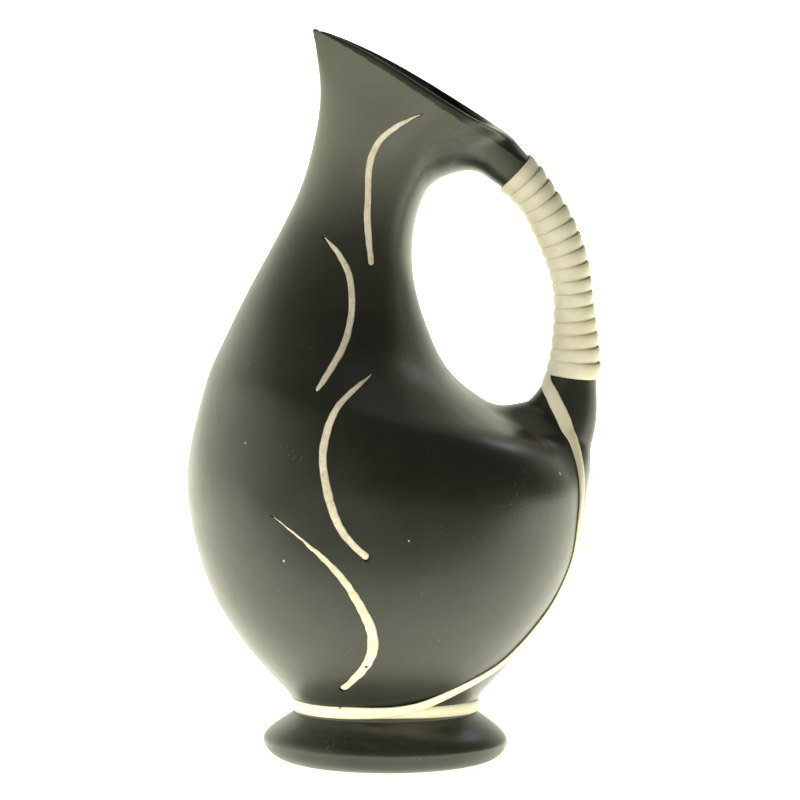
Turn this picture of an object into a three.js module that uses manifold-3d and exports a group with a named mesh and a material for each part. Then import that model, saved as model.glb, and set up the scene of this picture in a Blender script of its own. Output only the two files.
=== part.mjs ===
// A black glazed clay jug: a round belly leaning into a flared, beaked mouth, a turned foot, a looped handle
// bound in flat ivory strip that runs on down to the waist, and cream strokes let into gouged grooves.
// Millimetres, +Z up. The jug faces along X: its beak points to -X and its handle is at +X.
// It stands on Z = 0, with the middle of its bounding box over the origin.

import * as THREE from 'three';
import { LoftGeometry } from 'three/addons/geometries/LoftGeometry.js';
import { mergeVertices } from 'three/addons/utils/BufferGeometryUtils.js';
import Module from 'manifold-3d';

// ---------------------------------------------------------------- driving dimensions

const GAP = 0.3; // clearance between pieces that touch
const WALL = 4.5; // thickness of the pot's wall
const LIP_WALL = 3; // thickness of the wall at the mouth
const CAVITY_FROM = 0.11; // where the hollow's floor is, as a share of the way from waist to mouth
const ABOVE_MOUTH = 6; // how far the hollow's cutting form stands out of the mouth
const LIP_CROWN = 2; // how far the rim bulges above a flat cut
const BODY_SIDES = 42;
const BODY_RINGS = 30;
const CAVITY_RINGS = 18;

const WAIST_Z = 20; // where the foot meets the body
const FOOT_SIDES = 48;

const HANDLE_SIDES = 18;
const HANDLE_RINGS = 38;

const STRIP_WIDTH = 4.8;
const STRIP_THICKNESS = 0.8;
const STRIP_TILT = 0.35; // how far the upper edge of a turn stands above its lower edge
const STRIP_LIFT = 0.7; // from the clay to the strip's back: GAP and room for the flat steps of both
const CLEAR_OF_STRIP = 3; // a height above the clay that is well outside the strip
const WRAP_FROM = 29.2; // along the handle's middle line, to where the binding starts
const WRAP_PITCH = 5.15; // from one turn of the binding to the next
const WRAP_TURNS = 16;
const WRAP_STEPS = 14; // sections in one turn
const WRAP_END = WRAP_FROM + WRAP_TURNS * WRAP_PITCH;
const TAIL_HIDDEN = 6; // how far up under the binding the tail's route starts
const TAIL_STEPS = 96;
const OUTSIDE = 110; // farther from the pot's axis than any of its clay
const ROOT_FILLET = 8; // how far the strip bridges the hollow where the handle meets the belly

const GROOVE_DEPTH = 1.6;
const GROOVE_TAPER = 0.7; // a groove's floor as a share of its width
const STROKE_STEPS = 11;

// The pot's cross-sections, from the waist to the mouth. Each lies in a plane square to XZ, through its left
// and right points. depth is half its size in Y, beak narrows it towards the left into a pointed spout, and
// crown lifts the middle of the rim.
const bodySection = (left, right, depth, beak = 0, crown = 0) => ({ left, right, depth, beak, crown });
const BODY = [
	bodySection([-34.7, WAIST_Z], [34.7, WAIST_Z], 34.7),
	bodySection([-34.9, 23], [34.9, 23], 34.9),
	bodySection([-37.6, 28.1], [37.6, 28.1], 37.6),
	bodySection([-49.9, 41.8], [49.9, 41.8], 49.8),
	bodySection([-62.6, 60.1], [62.6, 60.1], 62.4),
	bodySection([-70.4, 79], [71, 78], 70.8),
	bodySection([-74.3, 97], [75, 94], 74.8),
	bodySection([-74.6, 117], [74.5, 110.5], 75),
	bodySection([-68.5, 143.8], [64, 124.5], 68),
	bodySection([-60.3, 164.3], [46, 135.6], 57.5),
	bodySection([-50.3, 183.5], [27, 149], 43.5),
	bodySection([-43, 197.5], [17.2, 163.6], 34),
	bodySection([-36, 210.5], [11.6, 181.5], 27.5, 0.03),
	bodySection([-31, 222.5], [10.4, 198], 23.6, 0.08),
	bodySection([-27.5, 235], [12.4, 211.5], 21.4, 0.2),
	bodySection([-25.2, 247], [17.5, 223], 20.6, 0.36, 0.2),
	bodySection([-24.6, 258.5], [26, 231.5], 20.6, 0.55, 0.5),
	bodySection([-25.7, 269], [35, 236.8], 20.7, 0.74, 0.8),
	bodySection([-27.6, 280.6], [43.8, 241.8], 21, 0.9, 1),
];

// The handle's middle line in XZ, from inside the neck to inside the belly, with its half-thickness in the
// loop's plane and across it.
const handleSection = (x, z, inPlane, across) => ({ x, z, inPlane, across });
const HANDLE = [
	handleSection(26, 237, 8.5, 9.5),
	handleSection(36.4, 233.8, 9.3, 9.2),
	handleSection(45.4, 228, 8.6, 8.7),
	handleSection(54.6, 217.4, 6.3, 8),
	handleSection(62.6, 204.3, 6.2, 7.8),
	handleSection(68.4, 190.2, 6.2, 7.8),
	handleSection(71.2, 174.8, 6.3, 7.8),
	handleSection(71.8, 157.4, 7.2, 8.3),
	handleSection(70.6, 146, 8.3, 9),
	handleSection(66.9, 133, 12, 11),
	handleSection(63, 120, 15, 13.5),
	handleSection(60, 106, 13, 13),
];

// The foot's outline, radius and height, from its flat standing ring up to the waist, and its hollow underside
// from the middle out to that ring.
const FOOT_OUTLINE = [[28, 0], [34.5, 0.9], [40, 2.4], [44, 4.8], [45.8, 8.2], [45.4, 11.2], [43.2, 14.4],
	[39.7, 17], [35.4, WAIST_Z - GAP]];
const FOOT_HOLLOW = [[0, 9], [13, 8.2], [18.5, 5.6], [21.2, 2.2], [22, 0]];

// The strip's way down the handle's root: how far along the handle's middle line, and the angle round it, from
// 180 inside the loop, through 270 on the near side, to 360 on the side away from the loop.
const ROOT_ROUTE = [[WRAP_END - TAIL_HIDDEN, 172], [113.6, 202], [119.7, 246], [126, 273], [131.5, 290], [136.5, 303], [141.5, 315]];

// Then its way down the pot: degrees round from the handle towards the near side, height, and how far it is
// lifted to pass over its own end, which is tucked under it after one turn round the waist.
const POT_ROUTE = [[11.5, 107, 0], [10, 99, 0], [8.5, 91, 0], [6.5, 83, 0], [5.3, 75, 0], [5.2, 66, 0],
	[5.6, 56, 0], [7.5, 47.5, 0], [14, 41, 0], [30, 36.3, 0], [45, 31.9, 0], [58, 28.4, 0.5], [71, 26, 1.3],
	[84, 24.6, 1.3], [98, 23.9, 0.7], [134, 23.3, 0.2], [172, 23.2, 0.2], [225, 23.2, 0.2], [270, 23, 0.2],
	[315, 22.9, 0.2], [345, 22.8, 0.2], [375, 22.8, 0.2], [400, 22.9, 0.2], [425, 23.1, 0.1], [441, 23.4, 0]];

// The gouged strokes on each face: x and z of the middle line, and the width there.
const STROKES = [
	[[14.5, 249.8, 0.8], [5.5, 245.2, 1.9], [-1.4, 239.8, 2.8], [-5.3, 232, 2.8], [-6.4, 220, 2.7],
		[-6.3, 206, 2.7], [-4.9, 192, 2.6]],
	[[-23.7, 203.9, 0.8], [-17.6, 197.2, 2.2], [-13.3, 188.7, 2.7], [-12.3, 178, 2.8], [-14.5, 166, 2.8],
		[-20.5, 155.4, 2.6], [-25.8, 147.8, 1.4]],
	[[-3.5, 154.8, 0.8], [-12.8, 147.6, 2.2], [-19.7, 139.1, 3], [-22.9, 126, 3.2], [-21.6, 113.5, 3.3],
		[-16.3, 98.2, 3.4], [-5.7, 86.7, 2.8]],
	[[-42.6, 102.4, 0.8], [-32.6, 95, 1], [-23.7, 87.3, 2.4], [-14.9, 77.7, 3.3], [-8.3, 66.8, 3.9],
		[-4.5, 55.6, 4.3], [-6.9, 44.1, 3.9], [-16.6, 32.9, 2.2]],
];

const COLOURS = { glaze: 0x20221c, ivory: 0xe9e0c2, cream: 0xcdc3a5 };

// ---------------------------------------------------------------- solids and booleans

const wasm = await Module();
wasm.setup();

function toSolid(geometry) {
	const bare = new THREE.BufferGeometry().copy(geometry);
	bare.deleteAttribute('normal');
	bare.deleteAttribute('uv');
	const welded = mergeVertices(bare, 1e-5);
	const vertProperties = welded.attributes.position.array;
	return new wasm.Manifold(new wasm.Mesh({ numProp: 3, vertProperties, triVerts: welded.index.array }));
}

function toGeometry(solid) {
	const mesh = solid.getMesh();
	const geometry = new THREE.BufferGeometry();
	geometry.setAttribute('position', new THREE.BufferAttribute(mesh.vertProperties, 3));
	geometry.setIndex(new THREE.BufferAttribute(mesh.triVerts, 1));
	geometry.computeVertexNormals();
	return geometry;
}

// The solid of a row of cross-sections, closed at both ends.
const loft = (sections) => toSolid(new LoftGeometry(sections, { capStart: true, capEnd: true }));

// A smooth curve through rows of up to three numbers.
const smooth = (rows) => new THREE.CatmullRomCurve3(rows.map((row) => new THREE.Vector3(...row)));

// ---------------------------------------------------------------- the pot's shape

const bodyLeft = smooth(BODY.map((s) => [s.left[0], 0, s.left[1]]));
const bodyRight = smooth(BODY.map((s) => [s.right[0], 0, s.right[1]]));
const bodyForm = smooth(BODY.map((s) => [s.depth, s.beak, s.crown]));

// The cross-section at u, from 0 at the waist to 1 at the mouth.
function bodyPlane(u) {
	const left = bodyLeft.getPoint(u);
	const right = bodyRight.getPoint(u);
	const form = bodyForm.getPoint(u);
	const along = right.clone().sub(left).normalize();
	return {
		left,
		along,
		up: new THREE.Vector3(-along.z, 0, along.x),
		middle: left.clone().lerp(right, 0.5),
		half: left.distanceTo(right) / 2,
		depth: form.x,
		beak: Math.max(form.y, 0),
		crown: Math.max(form.z, 0) * LIP_CROWN,
	};
}

// The ring of points at u, moved in by inset. A beak's point moves in further, so its sides keep their wall.
function bodyRing(u, inset, raise = 0) {
	const plane = bodyPlane(u);
	const tipInset = inset * (1 + 1.4 * plane.beak);
	const half = plane.half - (inset + tipInset) / 2;
	const shift = (tipInset - inset) / 2;
	const ring = [];
	for (let side = 0; side < BODY_SIDES; side++) {
		const angle = (side / BODY_SIDES) * 2 * Math.PI;
		const share = Math.cos(angle);
		const lift = plane.crown * (1 - share * share) * (1 - share) + raise;
		const point = plane.middle.clone().addScaledVector(plane.along, share * half + shift);
		point.addScaledVector(plane.up, lift);
		point.y = (plane.depth - inset) * Math.sin(angle) * (1 + plane.beak * share);
		ring.push(point);
	}
	return ring;
}

// The pot's outer form, a little larger or smaller by inset.
function bodySolid(inset) {
	const rings = [];
	for (let i = 0; i <= BODY_RINGS; i++) rings.push(bodyRing(i / BODY_RINGS, inset));
	return loft(rings);
}

// The hollow, from a rounded floor to above the mouth.
function cavitySolid() {
	const rings = [bodyRing(CAVITY_FROM, WALL + 8), bodyRing(CAVITY_FROM + 0.01, WALL + 3)];
	for (let i = 1; i <= CAVITY_RINGS; i++) {
		const share = i / CAVITY_RINGS;
		const inset = THREE.MathUtils.lerp(WALL, LIP_WALL, share ** 3);
		rings.push(bodyRing(THREE.MathUtils.lerp(CAVITY_FROM, 1, share), inset));
	}
	rings.push(bodyRing(1, LIP_WALL, ABOVE_MOUTH));
	return loft(rings);
}

// ---------------------------------------------------------------- the handle's shape

const handleLine = smooth(HANDLE.map((s) => [s.x, 0, s.z]));
const handleForm = smooth(HANDLE.map((s) => [s.inPlane, s.across, 0]));

const HANDLE_LENGTH = handleLine.getLength();

// The handle's cross-section a distance along its middle line, from the neck to the belly. out points away
// from the loop.
function handlePlane(distance) {
	const share = THREE.MathUtils.clamp(distance / HANDLE_LENGTH, 0, 1);
	const form = handleForm.getPoint(handleLine.getUtoTmapping(share));
	const down = handleLine.getTangentAt(share);
	return {
		middle: handleLine.getPointAt(share),
		down,
		out: new THREE.Vector3(-down.z, 0, down.x),
		inPlane: form.x,
		across: form.y,
	};
}

// A point round the handle, at an angle from its outer side, a height above its surface.
function handlePoint(plane, angle, height = 0) {
	const point = plane.middle.clone().addScaledVector(plane.out, Math.cos(angle) * (plane.inPlane + height));
	point.y = Math.sin(angle) * (plane.across + height);
	return point;
}

function handleRing(distance, height = 0) {
	const plane = handlePlane(distance);
	const ring = [];
	for (let side = 0; side < HANDLE_SIDES; side++) {
		ring.push(handlePoint(plane, (-side / HANDLE_SIDES) * 2 * Math.PI, height));
	}
	return ring;
}

// ---------------------------------------------------------------- the clay's surface, for what lies on it

// About how far a point is above the pot's surface, by the cross-section that the point lies in.
function aboveBody(point) {
	let low = 0;
	let high = 1;
	for (let i = 0; i < 24; i++) {
		const half = (low + high) / 2;
		const plane = bodyPlane(half);
		if (point.clone().sub(plane.left).dot(plane.up) > 0) low = half;
		else high = half;
	}
	const plane = bodyPlane(low);
	const share = point.clone().sub(plane.middle).dot(plane.along) / plane.half;
	const breadth = plane.depth * (1 + plane.beak * THREE.MathUtils.clamp(share, -0.95, 1));
	return (Math.hypot(share, point.y / breadth) - 1) * Math.min(plane.half, breadth);
}

const handleSamples = Array.from({ length: 120 }, (_, i) => handlePlane((i / 119) * HANDLE_LENGTH));

// About how far a point is above the handle's surface.
function aboveHandle(point) {
	const distanceTo = (plane) => Math.hypot(point.x - plane.middle.x, point.z - plane.middle.z);
	const plane = handleSamples.reduce((best, next) => (distanceTo(next) < distanceTo(best) ? next : best));
	const offset = point.clone().sub(plane.middle);
	const inPlane = Math.hypot(offset.dot(plane.out), offset.dot(plane.down)) / plane.inPlane;
	return (Math.hypot(inPlane, point.y / plane.across) - 1) * plane.inPlane;
}

// Both together, with the hollow between them filled as the fired joint is.
function aboveClay(point) {
	const body = aboveBody(point);
	const handle = aboveHandle(point);
	const mix = THREE.MathUtils.clamp(0.5 + (handle - body) / (2 * ROOT_FILLET), 0, 1);
	return THREE.MathUtils.lerp(handle, body, mix) - ROOT_FILLET * mix * (1 - mix);
}

// The slope of such a field at a point.
function slopeOf(field, point) {
	const step = 0.05;
	const rise = (x, y, z) => field(point.clone().add(new THREE.Vector3(x, y, z))) - field(point);
	return new THREE.Vector3(rise(step, 0, 0), rise(0, step, 0), rise(0, 0, step)).divideScalar(step);
}

// The nearest point of the clay's surface, and which way the surface faces there.
function settle(start) {
	const point = start.clone();
	for (let i = 0; i < 4; i++) {
		const slope = slopeOf(aboveClay, point);
		point.addScaledVector(slope, -aboveClay(point) / slope.lengthSq());
	}
	return { point, normal: slopeOf(aboveClay, point).normalize() };
}

// The last place where a line from inside the clay leaves it.
function leaving(inside, direction) {
	const at = (distance) => inside.clone().addScaledVector(direction, distance);
	let near = OUTSIDE;
	while (near > 0 && aboveClay(at(near)) > 0) near -= 1;
	let far = near + 1;
	for (let i = 0; i < 12; i++) {
		const half = (near + far) / 2;
		if (aboveClay(at(half)) > 0) far = half;
		else near = half;
	}
	return at(near);
}

// ---------------------------------------------------------------- the strip

// One cross-section of the strip: where its back's middle lies, which way the clay faces there, and how far
// its upper edge is raised.
const stripStop = (back, normal, tilt = 0) => ({ back, normal, tilt });

// The binding starts inside the loop and goes round by the far side, then the outer side, then the near one.
function wrapStops() {
	const stops = [];
	for (let i = 0; i <= WRAP_TURNS * WRAP_STEPS; i++) {
		const turn = i / WRAP_STEPS;
		const distance = WRAP_FROM + turn * WRAP_PITCH;
		const angle = Math.PI - turn * 2 * Math.PI;
		const at = (along, around) => handlePoint(handlePlane(distance + along), angle + around);
		const along = at(1, 0).sub(at(-1, 0));
		const around = at(0, 0.1).sub(at(0, -0.1));
		const normal = along.cross(around).normalize();
		stops.push(stripStop(at(0, 0).addScaledVector(normal, STRIP_LIFT), normal, STRIP_TILT));
	}
	return stops;
}

const radians = THREE.MathUtils.degToRad;

function tailStops() {
	const rootPoints = ROOT_ROUTE.map(([along, degrees]) => handlePoint(handlePlane(along), radians(degrees)));
	const potPoints = POT_ROUTE.map(([degrees, z]) => {
		const angle = radians(-degrees);
		return leaving(new THREE.Vector3(0, 0, z), new THREE.Vector3(Math.cos(angle), Math.sin(angle), 0));
	});
	const route = new THREE.CatmullRomCurve3([...rootPoints, ...potPoints]);
	const lifts = [...ROOT_ROUTE.map(() => 0), ...POT_ROUTE.map((row) => row[2])];
	const stops = [];
	for (let i = 0; i <= TAIL_STEPS; i++) {
		const share = i / TAIL_STEPS;
		const place = route.getUtoTmapping(share) * (lifts.length - 1);
		const before = Math.min(Math.floor(place), lifts.length - 2);
		const lift = THREE.MathUtils.lerp(lifts[before], lifts[before + 1], place - before);
		const { point, normal } = settle(route.getPointAt(share));
		stops.push(stripStop(point.addScaledVector(normal, STRIP_LIFT + lift), normal));
	}
	return stops;
}

function stripSections(stops) {
	return stops.map((stop, i) => {
		const ahead = stops[Math.min(i + 1, stops.length - 1)].back.clone();
		const forward = ahead.sub(stops[Math.max(i - 1, 0)].back).normalize();
		const across = new THREE.Vector3().crossVectors(forward, stop.normal).normalize();
		const face = new THREE.Vector3().crossVectors(across, forward).normalize();
		const corner = (side, height) => {
			const rise = height + Math.max(0, side * stop.tilt);
			return stop.back.clone().addScaledVector(across, (side * STRIP_WIDTH) / 2).addScaledVector(face, rise);
		};
		return [corner(-1, 0), corner(-1, STRIP_THICKNESS), corner(1, STRIP_THICKNESS), corner(1, 0)];
	});
}

// ---------------------------------------------------------------- the strokes

// The cross-sections of a stroke on the near face (side -1) or the far one (side 1). The filling is a little
// smaller than the groove, which also cuts through the surface.
function strokeSections(rows, side, grow, top, bottom) {
	const line = smooth(rows);
	const stops = [];
	for (let i = 0; i <= STROKE_STEPS; i++) {
		const { x, y: z, z: width } = line.getPoint(i / STROKE_STEPS);
		const point = new THREE.Vector3(x, side * 2, z);
		while (aboveBody(point) < 0) point.y += side;
		const slope = slopeOf(aboveBody, point);
		for (let k = 0; k < 4; k++) point.y -= aboveBody(point) / slope.y;
		stops.push({ point, normal: slopeOf(aboveBody, point).normalize(), width });
	}
	return stops.map((stop, i) => {
		const ahead = stops[Math.min(i + 1, STROKE_STEPS)].point.clone();
		const forward = ahead.sub(stops[Math.max(i - 1, 0)].point).normalize();
		const past = 2 * grow * (Number(i === STROKE_STEPS) - Number(i === 0));
		const across = new THREE.Vector3().crossVectors(forward, stop.normal).normalize();
		const corner = (share, height) => {
			const offset = share * (stop.width / 2 + grow);
			const place = stop.point.clone().addScaledVector(forward, past);
			return place.addScaledVector(across, offset).addScaledVector(stop.normal, height);
		};
		return [corner(-GROOVE_TAPER, bottom), corner(-1, top), corner(1, top), corner(GROOVE_TAPER, bottom)];
	});
}

// ---------------------------------------------------------------- assembly

const finish = (color, roughness) => new THREE.MeshStandardMaterial({ color, roughness, metalness: 0 });
const glaze = finish(COLOURS.glaze, 0.35);
const ivory = finish(COLOURS.ivory, 0.45);
const cream = finish(COLOURS.cream, 0.8);

const jug = new THREE.Group();

function addPiece(name, geometry, material) {
	const mesh = new THREE.Mesh(geometry, material);
	mesh.name = name;
	jug.add(mesh);
}

let body = bodySolid(0).subtract(cavitySolid());

STROKES.forEach((rows, i) => {
	for (const [face, side] of [['front', -1], ['back', 1]]) {
		const groove = loft(strokeSections(rows, side, GAP, 1, -GROOVE_DEPTH));
		body = body.subtract(groove);
		const filling = loft(strokeSections(rows, side, 0, 0, GAP - GROOVE_DEPTH));
		addPiece(`stroke_${face}_${i + 1}`, toGeometry(filling), cream);
	}
});
addPiece('body_shell', toGeometry(body), glaze);

const handleRings = [];
for (let i = 0; i <= HANDLE_RINGS; i++) handleRings.push(handleRing((i / HANDLE_RINGS) * HANDLE_LENGTH));
addPiece('handle', toGeometry(loft(handleRings).subtract(bodySolid(-GAP))), glaze);

const outline = (rows, steps) => {
	const curve = new THREE.SplineCurve(rows.map((row) => new THREE.Vector2(...row)));
	return curve.getPoints(steps);
};
const footTop = new THREE.Vector2(0, WAIST_Z - GAP);
const footProfile = [...outline(FOOT_HOLLOW, 5), ...outline(FOOT_OUTLINE, 10), footTop];
addPiece('pedestal_foot', new THREE.LatheGeometry(footProfile, FOOT_SIDES).rotateX(Math.PI / 2), glaze);

addPiece('handle_binding', toGeometry(loft(stripSections(wrapStops()))), ivory);

// The waist strip comes out from under the binding's last turn, so it is cut off at that turn's edge.
const underBinding = [WRAP_END - 2 * TAIL_HIDDEN, WRAP_END, WRAP_END + STRIP_WIDTH / 2 + GAP];
const hidden = loft(underBinding.map((distance) => handleRing(distance, CLEAR_OF_STRIP)));
addPiece('waist_strip', toGeometry(loft(stripSections(tailStops())).subtract(hidden)), ivory);

// The origin goes under the middle of the jug's bounding box.
const middle = new THREE.Box3().setFromObject(jug).getCenter(new THREE.Vector3());
jug.position.set(-middle.x, -middle.y, 0);

export default jug;
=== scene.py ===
import math

import bmesh
import bpy
import numpy as np
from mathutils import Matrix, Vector


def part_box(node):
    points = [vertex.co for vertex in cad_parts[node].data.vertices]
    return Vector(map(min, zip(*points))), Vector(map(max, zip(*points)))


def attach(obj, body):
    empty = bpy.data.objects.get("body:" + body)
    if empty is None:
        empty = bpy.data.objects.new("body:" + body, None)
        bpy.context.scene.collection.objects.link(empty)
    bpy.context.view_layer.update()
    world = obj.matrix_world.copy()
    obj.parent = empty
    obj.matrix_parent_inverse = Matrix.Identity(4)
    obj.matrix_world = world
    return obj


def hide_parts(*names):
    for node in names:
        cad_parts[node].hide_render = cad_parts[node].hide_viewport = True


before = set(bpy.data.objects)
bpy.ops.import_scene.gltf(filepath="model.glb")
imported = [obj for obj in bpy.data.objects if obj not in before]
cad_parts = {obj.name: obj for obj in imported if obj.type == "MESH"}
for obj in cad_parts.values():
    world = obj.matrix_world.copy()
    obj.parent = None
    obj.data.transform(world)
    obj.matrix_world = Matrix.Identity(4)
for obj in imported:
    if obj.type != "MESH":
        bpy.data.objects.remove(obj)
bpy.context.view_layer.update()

# A black glazed jug with a beaked mouth. The clay is worked out in millimetres about the foot's axis, with
# the beak towards -X and the handle at +X, and goes into the frame in metres.

FOOT_LOW, FOOT_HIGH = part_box("pedestal_foot")
AXIS_X = (FOOT_LOW.x + FOOT_HIGH.x) / 2
MM = 0.001

# ---------------------------------------------------------------- camera

CAMERA_OFFSET = (0.0057, -3.0, 0.45)  # from the foot's axis at floor level
CAMERA_PITCH = 5.92  # degrees below the horizon
CAMERA_LENS = 357.2


def make_camera():
    data = bpy.data.cameras.new("camera")
    data.sensor_width = 36
    data.lens = CAMERA_LENS
    camera = bpy.data.objects.new("camera", data)
    camera.location = (AXIS_X + CAMERA_OFFSET[0], CAMERA_OFFSET[1], CAMERA_OFFSET[2])
    camera.rotation_euler = (math.radians(90 - CAMERA_PITCH), 0, 0)
    bpy.context.scene.collection.objects.link(camera)
    bpy.context.scene.camera = camera


make_camera()

# ---------------------------------------------------------------- driving dimensions, in millimetres

WALL = 4.5
LIP_WALL = 2.5
WAIST_Z = 20.0
CAVITY_FLOOR = 29.0
LIP_CROWN = 2.0  # how far the rim bulges above a flat cut
LIP_ROUNDING = 1.5
NECK_FILLET = 12.8  # where the handle leaves the rim
ROOT_FILLET = 15.4  # where it meets the belly
HANDLE_CUTS = (16.0, 113.0)  # along the handle, where its own piece starts and ends
CAVITY_ROUNDING = 8.0
ASKEW_UNTIL = 74.0  # the correction for sections askew to the skin has faded out at this x,
ASKEW_FADE = 16.0  # over this length, so that it stays clear of the handle's root
SKIN_GAP = 0.04  # how far from the clay's skin a point may lie and still be shaded as skin
MOST_CORNERS = 12  # a face with more corners than this closes an opening, and is shaded flat

MESH_STEP = 1.3

# The pot's cross-sections from the waist to the mouth, each in a plane square to XZ: its left and right
# points, half its size in Y, and how much it narrows to the left into a beak.
BODY = [
    (-34.7, 20, 34.7, 20, 34.7, 0),
    (-34.9, 23, 34.9, 23, 34.9, 0),
    (-37.6, 28.1, 37.6, 28.1, 37.6, 0),
    (-49.9, 41.8, 49.9, 41.8, 49.8, 0),
    (-62.6, 60.1, 62.6, 60.1, 62.4, 0),
    (-70.4, 79, 71, 78, 70.8, 0),
    (-74.3, 97, 75, 94, 74.8, 0),
    (-74.6, 117, 74.5, 110.5, 75, 0),
    (-68.5, 143.8, 64.2, 124.4, 68, 0),
    (-63.4, 157, 46, 133.7, 59.5, 0),
    (-54.5, 175.5, 27, 147.1, 46, 0),
    (-46.6, 190.5, 17.2, 163.6, 35.7, 0),
    (-37.3, 208, 11.6, 181.5, 28, 0.03),
    (-31, 222.5, 10.4, 198, 23.6, 0.08),
    (-27.5, 235, 12.7, 211.5, 21.4, 0.2),
    (-25.2, 247, 18.2, 223, 20.6, 0.36),
    (-24.6, 258.5, 26, 231.5, 20.6, 0.55),
    (-25.7, 269, 35, 236.8, 20.7, 0.74),
    (-27.6, 280.6, 43.8, 241.8, 21, 0.9),
]

# The handle's middle line in XZ, with its half-thickness in the loop's plane and across it.
HANDLE = [
    (25.7, 236.2, 9, 11.5),
    (36.6, 233.7, 7.8, 11),
    (46.5, 228.2, 8.2, 9.6),
    (56.3, 217.8, 6.4, 8.2),
    (63.7, 205.4, 6.6, 7.8),
    (69.5, 190.4, 6.2, 7.8),
    (71.6, 174.8, 6.1, 7.8),
    (72.2, 157.4, 7.8, 8.3),
    (70.9, 146, 9.7, 9),
    (66.9, 132.6, 14, 11),
    (60.3, 120, 16.1, 13.5),
    (56, 106, 11.8, 13),
]

# The foot's outline and its hollow underside, as radius and height.
FOOT_OUTLINE = [(28, 0), (34.5, 0.8), (40, 2), (43.8, 4.1), (45.9, 6.8), (46.4, 9.2), (45.2, 11.6),
                (42.5, 14.2), (39.3, 16.6), (36.5, 18.6), (34.9, WAIST_Z)]
FOOT_HOLLOW = [(0.4, 9), (13, 8.2), (18.5, 5.6), (21.2, 2.2), (22, 0.3)]
STANDING_RING = [(22.2, 0.08), (22.6, 0), (25, 0), (27.4, 0)]
FOOT_TOP = [(34.0, WAIST_Z), (20, WAIST_Z), (0.4, WAIST_Z)]
FOOT_LEAN = 0.013  # how much its rim drops towards the handle, for each millimetre out

# The flat strip: bound round the handle, then down to the waist.
STRIP_THICKNESS = 0.85
BINDING_WIDTH = 5.9
WAIST_STRIP_WIDTH = 5.2
WAIST_STRIP_TAKEN_IN = 0.6  # how much narrower it gets, between the two distances along it
TAKEN_IN_BETWEEN = (60, 140)
WRAP_FROM = 24.7
WRAP_PITCH = 5.21
WRAP_TURNS = 16
WRAP_START = 0.12  # of a turn
WRAP_END = WRAP_FROM + WRAP_TURNS * WRAP_PITCH
WRAP_STEPS = 56
WRAP_DRIFT = 0.75  # how much of the winding's advance happens on the far side: 0 for an even helix

# The waist strip's way down the root: distance along the handle and degrees round it, from 180 inside the
# loop, through 270 on the near side, to 360 outside.
ROOT_ROUTE = [(WRAP_END - 5, 162), (WRAP_END + 1.5, 182), (114.5, 208), (117.4, 231), (120.7, 249),
              (125.2, 270), (129.5, 287), (134.5, 301)]
# Then down the pot: degrees round from the handle towards the near side, height, and lift over its own end.
POT_ROUTE = [(11.6, 112, 0), (12.3, 104, 0), (12.6, 97, 0), (11.4, 90, 0), (8.8, 83.5, 0), (6.6, 77, 0),
             (6, 70, 0), (7.5, 63.5, 0), (12, 57, 0), (17, 51, 0), (22, 45.3, 0), (27, 41.2, 0),
             (34, 37.8, 0), (40, 35.3, 0), (46, 33.2, 0), (52, 31.2, 0), (59, 29.3, 0.3),
             (67, 27.6, 0.8), (78, 25.9, 1), (88, 24.9, 1), (98, 24.3, 0.9), (110, 23.8, 0.3),
             (124, 23.4, 0), (142, 23.2, 0), (172, 23.2, 0), (225, 23.2, 0), (270, 23, 0),
             (315, 22.7, 0), (345, 22.6, 0), (374, 22.7, 0), (400, 23.3, 0), (425, 23.8, 0),
             (441, 24, 0), (455, 24, 0)]

# The gouged strokes: x and z of the middle line, and the width there.
STROKES = [
    [(14.5, 249.8, 0.8), (5.5, 245.2, 1.9), (-1.4, 239.8, 2.8), (-5.3, 232, 2.8), (-6.4, 220, 2.7),
     (-6.3, 206, 2.7), (-4.9, 192, 2.6)],
    [(-23.7, 203.9, 0.8), (-17.6, 197.2, 2.2), (-13.3, 188.7, 2.7), (-12.3, 178, 2.8), (-14.5, 166, 2.8),
     (-20.5, 155.4, 2.6), (-25.8, 147.8, 1.4)],
    [(-3.5, 154.8, 0.8), (-12.8, 147.6, 2.2), (-19.7, 139.1, 3), (-22.9, 126, 3.2), (-21.6, 113.5, 3.3),
     (-16.3, 98.2, 3.4), (-5.7, 86.7, 2.8)],
    [(-42.6, 102.4, 0.8), (-32.6, 95, 1), (-23.7, 87.3, 2.4), (-14.9, 77.7, 3.3), (-8.3, 66.8, 3.9),
     (-4.5, 55.6, 4.3), (-6.9, 44.1, 3.9), (-16.6, 32.9, 2.2)],
]

# Wear: places in millimetres about the foot's axis, and how far each one reaches.
SCUFFS = [((48.6, -57.7, 107.8), 7), ((52.4, -51.5, 114.9), 4), ((58.1, -47.8, 108.5), 5),
          ((-20, -40, 16), 7), ((-9, -19.5, 231), 4)]
PALE_DOTS = [((65.9, -31.9, 114.4), 0.7), ((9, -74, 94), 0.4), ((-37.6, -61.8, 85), 0.5),
             ((60, -40, 118), 0.3), ((53, -50, 100), 0.4), ((-52, -50, 128), 0.4)]
BAND_CHIP = (-16.6, -31.2, 25.4)
STROKE_CRACK = (-7, -50.7, 43.5)

# The painted reflection on the neck's sides stops at a ragged line under the lip: its height at the foot's
# axis, its fall for each millimetre towards the handle, and how fast that fall grows.
LIP_BAND_HEIGHT = 265.1
LIP_BAND_SLOPE = 0.6
LIP_BAND_BEND = 0.0014

# ---------------------------------------------------------------- curves and tables


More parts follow.
